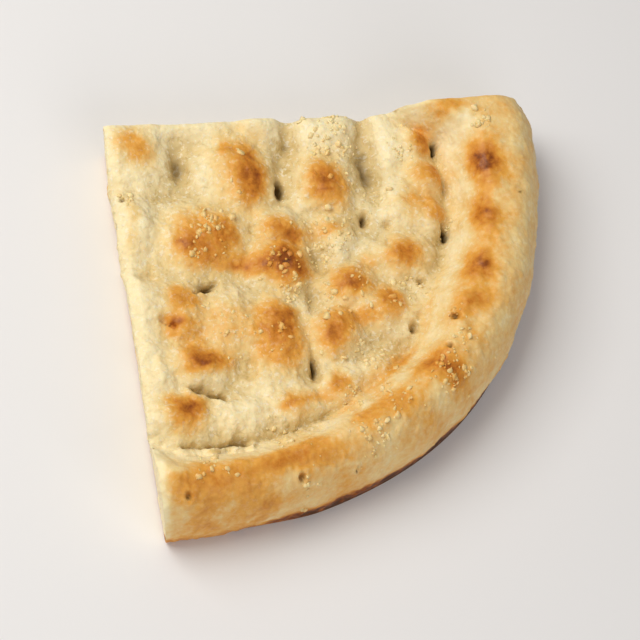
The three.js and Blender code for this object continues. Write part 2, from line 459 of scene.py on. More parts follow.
class Dough:
    """The shape of the loaf, from which the skin, the cuts and the underside are taken."""

    # The outline.
    WEDGE_ANGLE = math.radians(88.6)
    OUTLINE_POWER = 2.25
    OUTLINE_INSET = 0.5
    OUTLINE_WAVE = 0.9
    WAVES_ROUND = 5
    WAVE_START = 1.8
    END_ROUNDING = 2.4
    END_ANGLE = 0.075

    # The rim: its width by the angle round the loaf in degrees, and its flares at the two cuts,
    # given as their reach and their width.
    RIM_ANGLES = (0, 6, 16, 33, 39, 65, 75, 90)
    RIM_WIDTHS = (25.0, 24.6, 22.2, 22.4, 19.8, 15.8, 16.2, 17.2)
    RIM_INNER_SLOPE = 8.5
    RIM_ROUNDNESS = 1.3
    FIRST_FLARE = (8.5, 4.8)
    SECOND_FLARE = (4.0, 4.5)
    FLARES_FROM = 40
    RIM_WANDER = Pattern(0.7, 14, 2, 3.1)
    RIM_WAVES = Pattern(0.7, 17, 1, 2.2)
    RIM_RIPPLES = Pattern(0.35, 8, 1, 6.2)

    # The outer wall: rolled over down to its widest line, and tucked in below it or, round the
    # corner, let out into a lip.
    WALL_SHARE = 0.2
    UPPER_WALL_SHARE = 0.7
    WALL_INSET = 10.0
    WALL_WIDEST = 5.5
    WALL_TUCK = 1.5
    FOOT_LIP = 0.5

    # The cuts: the width and drop of their rounded edges, and how the second one leans and bows.
    FIRST_EDGE = (1.2, 0.4)
    SECOND_EDGE = (2.6, 1.5)
    FOOT_TUCK = 0.6
    RIM_OVERHANG = 3.2
    OVERHANG_WIDTH = 10.0
    CUT_BULGE = 1.4

    # The dimpled middle.
    CUSHION_SWAY = Pattern(1.5, 8, 2, 5.5)
    CUSHION_FALL = 0.8
    FLAT_TOP = 2.6
    MERGING = 3
    CUSHIONS_UP_RIM = 1.5
    DENT_SWAY = Pattern(0.55, 3.2, 2, 9.5)
    GROOVE_DEPTH = 1.1
    GROOVE_HALF_WIDTH = 2.4
    GROOVE_LOSS = 0.8
    TEAR_SWAY = Pattern(0.45, 1.7, 2, 27.5)
    TEAR_LIP_CRINKLE = Pattern(0.7, 1.9, 1, 4.4)
    FLOOR_RIPPLES = Pattern(0.35, 6, 2, 1.4)

    # The relief of the skin.
    FINE_SKIN = Pattern(0.11, 2.2, 3, 8.8)
    BLISTERS = Pattern(1.0, 1.7, 1, 33.0)
    BLISTER_RISE = 0.24
    LUMPS = Pattern(0.34, 4.4, 2, 43.0)
    WALL_SWELLS = Pattern(0.45, 11, 2, 12.6)
    WALL_WRINKLES = Pattern(0.16, 4.2, 2, 21.0)
    WRINKLE_STRETCH = (1, 1, 2.2)
    POPPED_LIP = 0.3

    # The browning.
    PATCH_SWAY = Pattern(1.1, 4.5, 2, 31.0)
    WALL_PATCH_SWAY = 2.2
    PATCH_FALL = 0.72
    SHELTER = Pattern(0.5, 6, 2, 52.0)
    SHELTER_MIDDLE = 0.72
    SHELTER_LOSS = 0.8
    CREST_TAN = 0.17
    CREST_CLOUDS = Pattern(0.10, 9, 3, 14.0)
    WALL_TAN = 0.06
    WALL_CLOUDS = Pattern(0.10, 8, 4, 19.0)
    # The scorched foot of the wall: partly real browning, partly painted contact shadow along the base.
    SCORCH_AND_SHADE_HEIGHT = 4.2
    SCORCH_AND_SHADE_WAVES = Pattern(1.0, 8, 2, 77.0)
    CORNER = (72, -67, 22, 22)
    CORNER_SCORCH_AND_SHADE = 1.4
    SCORCH_AND_SHADE_FROM = 0.3

    # The dough pressed down between the cushions, tinted partly for its own tone and partly as painted
    # shade: how far below their tops it starts.
    PRESSED_BELOW = 3.0
    PRESSED_AT_CUT = 0.35

    def __init__(self, shape):
        self.half_width = shape.half_width / MM
        self.half_depth = shape.half_depth / MM
        self.rim_height = shape.rim_height / MM
        self.middle = shape.middle_height / MM
        self.rim_scale = shape.rim_share
        self.uneven = Unevenness(shape.seed)

    def reach(self, angle):
        """From the loaf's centre to the widest line of the outer wall."""
        across = np.abs(np.cos(angle) / self.half_width) ** self.OUTLINE_POWER
        along = np.abs(np.sin(angle) / self.half_depth) ** self.OUTLINE_POWER
        wave = self.OUTLINE_WAVE * np.sin(self.WAVES_ROUND * angle - self.WAVE_START) * np.sin(2 * angle)
        end = self.END_ROUNDING * np.clip(1 - angle / self.END_ANGLE, 0, 1) ** 2
        return (across + along) ** (-1 / self.OUTLINE_POWER) + wave - end - self.OUTLINE_INSET

    def flare(self, x, y):
        """How much further in the rim starts beside the two cuts."""
        first_reach, first_width = self.FIRST_FLARE
        second_reach, second_width = self.SECOND_FLARE
        first = first_reach * np.exp(-((y / first_width) ** 2)) * (x > self.FLARES_FROM)
        second = second_reach * np.exp(-((x / second_width) ** 2)) * (y < -self.FLARES_FROM)
        return first + second

    def rim_share(self, x, y):
        """1 on the rim, 0 in the dimpled middle, and the distance in from the foot of the rim."""
        angle = np.arctan2(-y, x)
        inset = self.reach(angle) - np.hypot(x, y)
        width = self.rim_scale * np.interp(np.degrees(angle), self.RIM_ANGLES, self.RIM_WIDTHS)
        wander = self.uneven.after(in_plane(x, y), self.RIM_WANDER)
        inset = inset + wander * smooth_step(4, 14, inset) - self.flare(x, y)
        climb = np.clip((width - inset) / self.RIM_INNER_SLOPE, 0, 1)
        return np.sin(climb * np.pi / 2) ** self.RIM_ROUNDNESS, inset - width

    def warped(self, x, y, sway, sunk=0.0):
        """Plan points pushed about, so that listed features lose their even outlines."""
        here = in_plane(x, y, sunk)
        sideways = sway._replace(shift=sway.shift + 41.7)
        return x + self.uneven.after(here, sway), y + self.uneven.after(here, sideways)

    def crust_height(self, x, y):
        """Height of the upper crust, without the roll-over of the outer wall."""
        rim, past_foot = self.rim_share(x, y)
        here = in_plane(x, y)
        wx, wy = self.warped(x, y, self.CUSHION_SWAY)
        domes = np.zeros_like(x)
        for cx, cy, half_width, half_depth, rise in CUSHIONS:
            gap = ellipse_distance(wx, wy, cx, cy, half_width, half_depth)
            domes += (rise * np.exp(-self.CUSHION_FALL * gap**self.FLAT_TOP)) ** self.MERGING
        middle = domes ** (1 / self.MERGING)
        dx, dy = self.warped(x, y, self.DENT_SWAY)
        for cx, cy, half_width, half_depth, depth in DENTS:
            gap = ellipse_distance(dx, dy, cx, cy, half_width, half_depth)
            middle -= depth * np.exp(-(gap**self.FLAT_TOP))
        shallow = 1 - self.GROOVE_LOSS * smooth_step(0.34, 0.64, np.arctan2(-y, x))
        groove = self.GROOVE_DEPTH * shallow * np.exp(-((past_foot / self.GROOVE_HALF_WIDTH) ** 2))
        height = self.middle + (self.rim_height - self.middle) * rim - groove
        height += (1 - rim**self.CUSHIONS_UP_RIM) * middle
        tx, ty = self.warped(dx, dy, self.TEAR_SWAY)
        crinkle = 1 + self.uneven.after(here, self.TEAR_LIP_CRINKLE)
        for x0, y0, x1, y1, half, depth, lip in TEARS:
            gap, side = segment_offsets(tx, ty, x0, y0, x1, y1)
            height -= depth * np.exp(-((gap / half) ** 2))
            past_lip = (gap - 2.2 * half) / (1.6 * half)
            height += lip * np.exp(-(past_lip**2)) * smooth_step(0, half, -side) * crinkle
        rim_wave = self.uneven.after(here, self.RIM_WAVES) + self.uneven.after(here, self.RIM_RIPPLES)
        return height + rim * rim_wave + (1 - rim) * self.uneven.after(here, self.FLOOR_RIPPLES)

    def skin(self, squares):
        """Points of the top, the rim and the outer wall on a square net folded onto the wedge, and
        how far down the wall each of them is."""
        column, row = np.meshgrid(np.arange(squares + 1), np.arange(squares + 1), indexing="ij")
        ring = np.maximum(column, row)
        low_half = 0.5 * row / np.maximum(column, 1)
        high_half = 1 - 0.5 * column / np.maximum(row, 1)
        angle = np.where(column >= row, low_half, high_half) * self.WEDGE_ANGLE
        share = ring / squares
        flat = 1 - self.WALL_SHARE
        on_top = share <= flat
        down = np.clip((share - flat) / self.WALL_SHARE, 0, 1)
        wall_top = self.reach(angle) - self.WALL_INSET
        lower_share = 1 - self.UPPER_WALL_SHARE
        upper = np.clip(down / self.UPPER_WALL_SHARE, 0, 1) * (np.pi / 2)
        lower = np.clip((down - self.UPPER_WALL_SHARE) / lower_share, 0, 1) * (np.pi / 2)
        lip = smooth_step(0.1, 0.35, angle) * (1 - smooth_step(1.15, 1.4, angle))
        tuck = self.WALL_TUCK * (1 - lip) - self.FOOT_LIP * lip
        wall_reach = wall_top + self.WALL_INSET * np.sin(upper) - tuck * (1 - np.cos(lower))
        reach = np.where(on_top, wall_top * share / flat, wall_reach)
        held = np.minimum(reach, wall_top)
        crest = self.crust_height(np.cos(angle) * held, -np.sin(angle) * held)
        wall_z = np.where(
            lower > 0,
            self.WALL_WIDEST * (1 - np.sin(lower)),
            self.WALL_WIDEST + (crest - self.WALL_WIDEST) * np.cos(upper),
        )
        z = np.where(on_top, crest, wall_z)
        points = self.trimmed(np.cos(angle) * reach, -np.sin(angle) * reach, z, reach, share)
        points = self.relieved(points, down)
        points[ring == squares, 2] = 0
        points[..., 1][row == 0] = 0
        return points, down

    def trimmed(self, x, y, z, reach, share):
        """Points of the skin after its cut edges are rounded and the second cut leans and bows."""
        from_second = x * np.sin(self.WEDGE_ANGLE) + y * np.cos(self.WEDGE_ANGLE)
        for gap, (width, drop) in ((-y, self.FIRST_EDGE), (from_second, self.SECOND_EDGE)):
            fade = smooth_step(3, 9, z) * smooth_step(0, 5, reach)
            z = z - drop * np.clip(1 - gap / width, 0, 1) ** 2 * fade
        raised = np.clip(z / self.rim_height, 0, 1)
        lean = self.FOOT_TUCK * (1 - raised) - self.RIM_OVERHANG * raised
        beside = np.exp(-((from_second / self.OVERHANG_WIDTH) ** 2))
        x = x + lean * beside * smooth_step(0.5, 0.82, share)
        bow = self.CUT_BULGE * np.sin(np.pi * share) * np.clip(z / self.WALL_WIDEST, 0, 1)
        x = x - bow * np.clip(1 - 2 * x / np.maximum(reach, 1), 0, 1)
        return np.stack([x, y, z], -1)

    def relieved(self, points, down):
        """Adds the fine relief of the skin along its normals."""
        relief = self.uneven.after(points, self.FINE_SKIN)
        blisters = smooth_step(0.15, 0.75, self.uneven.after(points, self.BLISTERS))
        relief += self.BLISTER_RISE * blisters
        relief += self.uneven.after(points, self.LUMPS) * (1 - smooth_step(0, 0.3, down))
        relief += self.uneven.after(points, self.WALL_SWELLS) * smooth_step(0, 0.5, down)
        stretched = points * self.WRINKLE_STRETCH
        relief += self.uneven.after(stretched, self.WALL_WRINKLES) * smooth_step(0, 0.4, down)
        for cx, cy, radius, depth in POPPED:
            gap = ellipse_distance(points[..., 0], points[..., 1], cx, cy, radius, radius)
            relief += self.POPPED_LIP * np.exp(-((gap - 1.9) ** 2) / 0.5) - depth * np.exp(-(gap**3))
        off_base = smooth_step(0, 1.5, points[..., 2])
        return points + net_normals(points) * (relief * off_base)[..., None]

    @staticmethod
    def from_second_cut(points):
        """Distance of each skin point from the upper edge of the second cut."""
        edge = points[0]
        ahead = -edge[: np.argmax(-edge[:, 1]) + 1, 1]
        across = np.interp(-points[..., 1], np.maximum.accumulate(ahead), edge[: len(ahead), 0])
        return points[..., 0] - across

    def toast(self, points, down):
        """How browned the skin is, from 0 to 1, with painted contact shadow on the scorched foot."""
        rim, past_foot = self.rim_share(points[..., 0], points[..., 1])
        from_cut = self.from_second_cut(points)
        spots = self.patches(points, down, rim) * smooth_step(0.3, 2.0, from_cut)
        past_slope = -past_foot - self.flare(points[..., 0], points[..., 1]) - self.RIM_INNER_SLOPE
        crest = smooth_step(0.55, 1.0, rim) * smooth_step(-3.0, 1.0, past_slope)
        crest = crest * smooth_step(0.2, 2.2, from_cut)
        rim_tan = crest * (self.CREST_TAN + self.uneven.after(points, self.CREST_CLOUDS))
        wall_tan = self.WALL_TAN + self.uneven.after(points, self.WALL_CLOUDS)
        wall_tan = wall_tan * smooth_step(0.0, 0.6, down)
        # The foot is partly scorched and partly painted contact shadow.
        foot = self.scorch_and_contact_shade(points, down)
        return np.clip(1 - (1 - spots) * (1 - rim_tan) * (1 - wall_tan) * (1 - foot), 0, 1)

    def patches(self, points, down, rim):
        """The browned patches, held back on the inner slope of the rim."""
        x, y, z = points[..., 0], points[..., 1], points[..., 2]
        sway = self.PATCH_SWAY.amount + self.WALL_PATCH_SWAY * smooth_step(0.1, 0.7, down)
        sunk = (self.rim_height - z) * smooth_step(0.0, 0.15, down)
        wx, wy = self.warped(x, y, self.PATCH_SWAY._replace(amount=sway), sunk)
        left = np.ones_like(x)
        for cx, cy, half_width, half_depth, strength in BROWNED:
            gap = ellipse_distance(wx, wy, cx, cy, half_width, half_depth)
            left *= 1 - strength * np.exp(-(gap**2) * self.PATCH_FALL)
        steep = smooth_step(0.05, 0.3, rim) * (1 - smooth_step(0.5, 0.85, rim))
        sheltered = np.clip(self.SHELTER_MIDDLE + self.uneven.after(points, self.SHELTER), 0.3, 1)
        return (1 - left) * (1 - self.SHELTER_LOSS * steep * sheltered)

    def scorch_and_contact_shade(self, points, down):
        """The scorched foot of the outer wall, partly real browning and partly painted contact shadow,
        highest at the corner, fading to the second cut.
        """
        x, y, z = points[..., 0], points[..., 1], points[..., 2]
        corner = self.CORNER_SCORCH_AND_SHADE * np.exp(-(ellipse_distance(x, y, *self.CORNER) ** 2))
        height = self.SCORCH_AND_SHADE_HEIGHT + corner + self.uneven.after(points, self.SCORCH_AND_SHADE_WAVES)
        foot = np.exp(-((np.maximum(z, 0) / height) ** 4)) * smooth_step(0.45, 0.8, down)
        return foot * (self.SCORCH_AND_SHADE_FROM + (1 - self.SCORCH_AND_SHADE_FROM) * smooth_step(12, 42, x))

    def pressed(self, points, down):
        """How far the dough is pressed down (a tint that is partly its own tone, partly painted shade), how
        deep it lies in a dent (painted shade there and in popped bubbles), and the rim's share.
        """
        rim, _ = self.rim_share(points[..., 0], points[..., 1])
        depth = self.middle + self.PRESSED_BELOW - points[..., 2]
        on_top = 1 - smooth_step(0, 0.05, down)
        # The valleys' tint: partly the pressed dough's own tone, partly painted shade.
        pressed = smooth_step(0.0, 2.9, depth) * (1 - smooth_step(0, 0.3, rim)) * on_top
        inward = smooth_step(2, 10, self.from_second_cut(points))
        pressed *= self.PRESSED_AT_CUT + (1 - self.PRESSED_AT_CUT) * inward
        # Painted shade: darker the deeper a dent goes, and inside each popped bubble.
        pit = smooth_step(3.0, 5.8, depth) * on_top
        for cx, cy, radius, _ in POPPED:
            gap = ellipse_distance(points[..., 0], points[..., 1], cx, cy, radius, radius)
            pit = np.maximum(pit, np.exp(-(gap**4)))
        return pressed, pit, rim


class Crumb:
    """The open crumb of the cut faces: bubbles, crumbly waves, a rind above and a heel below."""

    BUBBLES = 560
    SMALLEST = 0.3
    LARGEST_EXTRA = 1.3
    RARITY = 4.5
    ALONG_SWAY = Pattern(0.4, 1.9, 2, 80.0)
    UP_SWAY = Pattern(0.3, 1.6, 2, 90.0)
    CRUMBLE = Pattern(0.2, 1.7, 3, 50.0)
    WAVES = Pattern(0.3, 9.0, 2, 60.0)
    EDGE_WAVES = Pattern(0.5, 5.0, 2, 95.0)
    RIND_DEPTH = 0.85
    HEEL_DEPTH = 0.8
    EDGE_POWER = 1.6

    def __init__(self, uneven, seed):
        self.uneven, self.seed = uneven, seed

    def face(self, top, foot, outward, rows):
        """Points of one cut face, from the base at row 0 to the skin's edge at the last row."""
        rise = np.linspace(0, 1, rows + 1)[:, None, None]
        points = foot[None] + (top - foot)[None] * rise
        height = np.linalg.norm(top - foot, axis=-1)[None]
        along, up = np.linalg.norm(points[..., :2], axis=-1), points[..., 2]
        low, high = rise[..., 0] * height, (1 - rise[..., 0]) * height
        here = in_plane(along, up, self.seed * 3.3)
        pore, hollow = self.bubbles(here)
        inside = smooth_step(0, 1.4, low) * smooth_step(0, 0.8, high)
        waves = self.uneven.after(here * [1, 1.4, 1], self.CRUMBLE) + self.uneven.after(here, self.WAVES)
        push = (waves - hollow) * inside
        patchy = 1 + self.uneven.after(here, self.EDGE_WAVES)
        rind = np.exp(-((high / (self.RIND_DEPTH * patchy)) ** self.EDGE_POWER))
        heel = np.exp(-((low / (self.HEEL_DEPTH * patchy)) ** self.EDGE_POWER))
        return points + outward * push[..., None], pore * inside, rind, heel

    def bubbles(self, here):
        """How far each point is inside a bubble, which sets the painted shade there, and how deep the
        bubble is there.
        """
        draw = np.random.default_rng(self.seed)
        along, up = here[..., 0], here[..., 1]
        bent_along = along + self.uneven.after(here, self.ALONG_SWAY)
        bent_up = up + self.uneven.after(here, self.UP_SWAY)
        pore, hollow = np.zeros_like(up), np.zeros_like(up)
        for _ in range(self.BUBBLES):
            size = self.SMALLEST + self.LARGEST_EXTRA * draw.random() ** self.RARITY
            cx, cz = draw.uniform(1, 101), draw.uniform(1.4, 20.5)
            wide, tall = size * draw.uniform(0.9, 1.6), size * draw.uniform(0.6, 1.0)
            lean = draw.uniform(-0.3, 0.3)
            gap = np.hypot((bent_along - cx) / wide, (bent_up - cz - lean * (along - cx)) / tall)
            bowl = np.sqrt(np.clip(1 - gap**2, 0, 1))
            hollow = np.maximum(hollow, bowl * min(1.3, 0.9 * size))
            pore = np.maximum(pore, bowl * min(1, 0.35 + 0.6 * size))
        return pore, hollow


def new_mesh(name, points, faces, finish):
    """A smooth mesh from points in the frame's millimetres, with its finish values per point."""
    mesh = bpy.data.meshes.new(name)
    mesh.from_pydata((points * MM).tolist(), [], faces)
    for label, values in finish.items():
        layer = mesh.attributes.new(label, "FLOAT", "POINT")
        layer.data.foreach_set("value", np.concatenate(values).astype(np.float32))
    mesh.polygons.foreach_set("use_smooth", np.ones(len(mesh.polygons), bool))
    return mesh


class WedgeMesh:
    """Gathers the vertices, faces and per-vertex finish of the wedge."""

    # The per-vertex finishes include painted shade: in the valleys (with the pressed dough's own tone),
    # deep in dents and inside crumb bubbles.
    FINISHES = ("toast", "pressed", "pit", "rim", "pore", "rind")
    CRUST, CRUMB, BASE = 0, 1, 2

    def __init__(self):
        self.points, self.finish, self.count = [], {name: [] for name in self.FINISHES}, 0
        self.faces, self.kinds, self.maps = [], [], []

    def add_points(self, points, **finish):
        """Adds points and gives back their numbers, in the same arrangement."""
        arrangement = points.shape[:-1]
        total = int(np.prod(arrangement))
        self.points.append(points.reshape(-1, 3))
        for name in self.FINISHES:
            values = np.broadcast_to(finish.get(name, 0.0), arrangement)
            self.finish[name].append(np.asarray(values, float).reshape(-1))
        numbers = np.arange(self.count, self.count + total).reshape(arrangement)
        self.count += total
        return numbers

    def add_net(self, numbers, kind, corner, size, flip=False):
        """Adds the quads of a net of vertices, and its place on the finish map."""
        steps = [np.linspace(0, 1, count) for count in numbers.shape]
        across, up = np.meshgrid(*steps, indexing="ij")
        spots = np.stack([corner[0] + across * size[0], corner[1] + up * size[1]], -1)
        order = [(0, 0), (0, 1), (1, 1), (1, 0)]
        if flip:
            order.reverse()
        last_a, last_b = (count - 1 for count in numbers.shape)
        parts = [numbers[a:a + last_a, b:b + last_b].reshape(-1) for a, b in order]
        places = [spots[a:a + last_a, b:b + last_b].reshape(-1, 2) for a, b in order]
        for face, place in zip(np.stack(parts, -1), np.stack(places, 1)):
            keep = [k for k in range(4) if face[k] != face[k - 1]]
            self.add_face([face[k] for k in keep], kind, [place[k] for k in keep])

    def add_face(self, corners, kind, places):
        self.faces.append([int(corner) for corner in corners])
        self.maps.extend(places)
        self.kinds.append(kind)

    def build(self, name, to_row):
        mesh = new_mesh(name, np.concatenate(self.points) + to_row, self.faces, self.finish)
        mesh.polygons.foreach_set("material_index", np.array(self.kinds, np.int32))
        layer = mesh.uv_layers.new(name="OFBake")
        layer.data.foreach_set("uv", np.array(self.maps, np.float32).reshape(-1))
        mesh.update()
        return mesh


# The wedge's tip on the base, which stands in a little from the loaf's centre.
BASE_TIP = np.array([3.0, -0.8, 0.0])

# Places on the finish map: corner and size of the skin's square, corner of each cut's strip, and the
# strips' size; centre and size of the underside.
SKIN_MAP = ((0.005, 0.005), (0.62, 0.62))
CUT_MAPS = ((0.005, 0.65), (0.005, 0.82))
CUT_MAP_SIZE = (0.985, 0.14)
BASE_MAP = (0.635, 0.37, 0.35)

# How brown the rind is before the skin's own browning is added, and how brown the heel is.
RIND_TAN = 0.42
HEEL_TAN = 0.72

BASE_SPACING = 1.3
BASE_HOLLOWS = Pattern(1.0, 5, 3, 70.0)
BASE_HOLLOW_DEPTH = 0.28


def foot_line(edge_points):
    """Even points on the base under a cut, from the wedge's tip to the foot of the wall."""
    corner = edge_points[-1] * [1, 1, 0]
    return BASE_TIP + (corner - BASE_TIP)[None] * np.linspace(0, 1, len(edge_points))[:, None]


def underside_points(loop, draw):
    """Plan points spread inside the base's outline, a little off their even places."""
    low, high = loop.min(0), loop.max(0)
    xs = np.arange(low[0] + BASE_SPACING, high[0], BASE_SPACING)
    ys = np.arange(low[1] + BASE_SPACING, high[1], BASE_SPACING)
    spots = np.stack(np.meshgrid(xs, ys, indexing="ij"), -1).reshape(-1, 2)
    spots = spots + draw.uniform(-0.3, 0.3, spots.shape) * BASE_SPACING
    ahead = np.roll(loop, -1, 0)
    winding = np.sign((loop[:, 0] * ahead[:, 1] - loop[:, 1] * ahead[:, 0]).sum())
    inside = []
    for spot in spots:
        gaps = np.hypot(*(loop - spot).T)
        before = gaps.argmin() - 1
        step, across = ahead[before] - loop[before], spot - loop[before]
        turn = np.sign(step[0] * across[1] - step[1] * across[0])
        inside.append(gaps.min() > BASE_SPACING * 0.6 and turn == winding)
    return spots[inside]


def add_cuts(body, dough, shape, skin, points, toast):
    """Adds both cut faces, and gives back the vertices along the foot of each."""
    tip = body.add_points(BASE_TIP[None])[0]
    rise = np.linspace(0, 1, shape.cut_rows + 1)[1:-1]
    apex = body.add_points(BASE_TIP + (points[0, 0] - BASE_TIP) * rise[:, None])
    cuts = (
        (skin[:, 0], points[:, 0], toast[:, 0], np.array([0.0, 1.0, 0.0])),
        (skin[0, :], points[0, :], toast[0, :], np.array([-1.0, 0.0, 0.0])),
    )
    feet = []
    for number, (edge, top, top_toast, outward) in enumerate(cuts):
        crumb = Crumb(dough.uneven, shape.seed * 10 + number + 1)
        face, pore, rind, heel = crumb.face(top, foot_line(top), outward, shape.cut_rows)
        browning = rind * (RIND_TAN + (1 - RIND_TAN) * top_toast[None]) + HEEL_TAN * heel
        inner = (slice(None, -1), slice(1, -1))
        net = np.empty((shape.cut_rows + 1, shape.squares + 1), int)
        net[inner] = body.add_points(face[inner], pore=pore[inner], rind=np.clip(browning, 0, 1)[inner])
        net[-1, :] = edge
        net[:, -1] = edge[-1]
        net[0, 0] = tip
        net[1:-1, 0] = apex
        body.add_net(net.T, body.CRUMB, CUT_MAPS[number], CUT_MAP_SIZE, flip=number == 1)
        feet.append(net[0])
    return feet


def add_underside(body, dough, shape, skin, feet):
    """Closes the base between the feet of the cuts and of the wall."""
    wall_foot = [*skin[-1, 1:], *skin[:-1, -1][::-1]][:-1]
    outline = np.array([*feet[0], *wall_foot, *feet[1][1:][::-1]])
    loop = np.concatenate(body.points)[outline][:, :2]
    spots = underside_points(loop, np.random.default_rng(shape.seed + 3))
    ring = [(k, (k + 1) % len(loop)) for k in range(len(loop))]
    flat = [Vector(spot) for spot in np.concatenate([loop, spots])]
    placed, _, triangles, origins, _, _ = delaunay_2d_cdt(flat, ring, [], 1, 1e-6)
    hollows = dough.uneven.after(in_plane(spots[:, 0], spots[:, 1]), BASE_HOLLOWS)
    inner = body.add_points(np.column_stack([spots, BASE_HOLLOW_DEPTH * np.clip(hollows, 0, 1)]))
    numbers = np.concatenate([outline, inner])
    named = [numbers[origin[0]] for origin in origins]
    map_x, map_y, map_size = BASE_MAP
    places = [
        (map_x + map_size * spot[0] / dough.half_width, map_y + map_size * spot[1] / dough.half_width)
        for spot in placed
    ]
    for triangle in triangles:
        turned = triangle[::-1]
        body.add_face([named[k] for k in turned], body.BASE, [places[k] for k in turned])


def wedge_mesh(shape):
    """The whole wedge as one closed mesh: skin, two cut faces and underside."""
    dough = Dough(shape)
    body = WedgeMesh()
    points, down = dough.skin(shape.squares)
    toast = dough.toast(points, down)
    # Masks for the valleys' tint (partly the pressed dough's own tone, partly painted shade) and for the
    # painted shade deep in dents.
    pressed, pit, rim = dough.pressed(points, down)
    skin = body.add_points(points, toast=toast, pressed=pressed, pit=pit, rim=rim)
    body.add_net(skin, body.CRUST, *SKIN_MAP)
    feet = add_cuts(body, dough, shape, skin, points, toast)
    add_underside(body, dough, shape, skin, feet)
    return body, dough


def row_offset(dough):
    """From the loaf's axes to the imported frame's, in millimetres."""
    low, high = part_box(WEDGE_NODE)
    return np.array([high.x / MM - dough.half_width, high.y / MM, low.z / MM])


def put_in_scene(name, data, *materials):
    """Adds a mesh, a lamp or a camera to the scene."""
    thing = bpy.data.objects.new(name, data)
    bpy.context.scene.collection.objects.link(thing)
    for material in materials:
        data.materials.append(material)
    return thing


def put_on_body(name, mesh, *materials):
    """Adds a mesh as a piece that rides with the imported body."""
    piece = put_in_scene(name, mesh, *materials)
    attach(piece, "root")
    return piece


# ---------------------------------------------------------------- finishes


def arithmetic(operation, swapped=False):
    """An operator for wires that adds a Math node, with the wire second where it is swapped."""

    def combined(wire, other):
        values = (other, wire) if swapped else (wire, other)
        return wire.finish.node("ShaderNodeMath", {"operation": operation}, dict(enumerate(values)))

    return combined


class Wire:
    """A socket that sums can be written on."""

    def __init__(self, finish, socket):
        self.finish, self.socket = finish, socket

    __add__ = __radd__ = arithmetic("ADD")
    __mul__ = __rmul__ = arithmetic("MULTIPLY")
    __sub__ = arithmetic("SUBTRACT")
    __rsub__ = arithmetic("SUBTRACT", swapped=True)

    def clamped(self):
        return self.finish.node("ShaderNodeClamp", {}, {"Value": self})

    def stepped(self, low, high):
        """0 below low, 1 above high, and smooth between."""
        sockets = {"Value": self, "From Min": low, "From Max": high}
        return self.finish.node("ShaderNodeMapRange", {"interpolation_type": "SMOOTHSTEP"}, sockets)


class Finish:
    """A material whose node tree is written as expressions."""

    # A Mix node's sockets for colours share their labels with its others, so they go by number.
    MIX_SHARE = 0
    MIX_COLOURS = (6, 7)
    MIX_RESULT = 2

    def __init__(self, name):
        self.material = bpy.data.materials.new(name)
        self.material.use_nodes = True
        self.tree = self.material.node_tree
        self.tree.nodes.clear()
        self.place = self.node("ShaderNodeTexCoord", {}, {}, "Object")

    def node(self, kind, settings, sockets, output=0):
        """Adds a node: its settings first, then each socket's value or link."""
        made = self.tree.nodes.new(kind)
        for name, value in settings.items():
            if name == "stops":
                self.set_stops(made.color_ramp, value)
            else:
                setattr(made, name, value)
        for key, value in sockets.items():
            if isinstance(value, Wire):
                self.tree.links.new(value.socket, made.inputs[key])
            else:
                made.inputs[key].default_value = value
        return Wire(self, made.outputs[output]) if len(made.outputs) else made

    @staticmethod
    def set_stops(ramp, stops):
        while len(ramp.elements) < len(stops):
            ramp.elements.new(0.5)
        for element, (position, shade) in zip(ramp.elements, stops):
            element.position = position
            element.color = (*shade, 1.0)

    def painted(self, name):
        """A value stored on the mesh."""
        return self.node("ShaderNodeAttribute", {"attribute_name": name}, {}, "Fac")

    def noise(self, size_mm, detail=3.0, rough=0.55, warp=0.0):
        sockets = {
            "Vector": self.place,
            "Scale": 1 / (size_mm * MM),
            "Detail": detail,
            "Roughness": rough,
            "Distortion": warp,
        }
        return self.node("ShaderNodeTexNoise", {}, sockets, "Fac")

    def bubbles(self, size_mm):
        """Distance to the nearest of a scatter of small cells."""
        sockets = {"Vector": self.place, "Scale": 1 / (size_mm * MM), "Randomness": 1.0}
        return self.node("ShaderNodeTexVoronoi", {"feature": "F1"}, sockets, "Distance")

    def blend(self, share, first, second):
        """Mixes two colours."""
        sockets = {self.MIX_SHARE: share}
        for key, shade in zip(self.MIX_COLOURS, (first, second)):
            sockets[key] = shade if isinstance(shade, Wire) else (*shade, 1.0)
        return self.node("ShaderNodeMix", {"data_type": "RGBA"}, sockets, self.MIX_RESULT)

    def ramp(self, value, stops):
        return self.node("ShaderNodeValToRGB", {"stops": stops}, {"Fac": value}, "Color")

    def bump(self, height, depth_mm, strength=1.0):
        sockets = {"Height": height, "Distance": depth_mm * MM, "Strength": strength}
        return self.node("ShaderNodeBump", {}, sockets, "Normal")

    def surface(self, sockets):
        """Closes the material with a Principled surface."""
        shader = self.node("ShaderNodeBsdfPrincipled", {}, sockets, "BSDF")
        self.node("ShaderNodeOutputMaterial", {}, {"Surface": shader})
        return self.material


# What every part of the dough shares: soft, barely shiny, and letting a little light through.
SOFT_DOUGH = {
    "Subsurface Weight": 0.1,
    "Subsurface Radius": (1.0, 0.5, 0.22),
    "Subsurface Scale": 0.0014,
    "Specular IOR Level": 0.35,
    "IOR": 1.45,
}
LOOSE_FLOUR = (0.93, 0.88, 0.78)


def baking_stops(colours):
    """The dough's colour as it bakes, from raw to burnt."""
    return [
        (0.0, colours.pale),
        (0.15, colours.warm),
        (0.38, colours.golden),
        (0.62, colours.brown),
        (0.84, colours.dark),
        (1.0, colours.burnt),
    ]


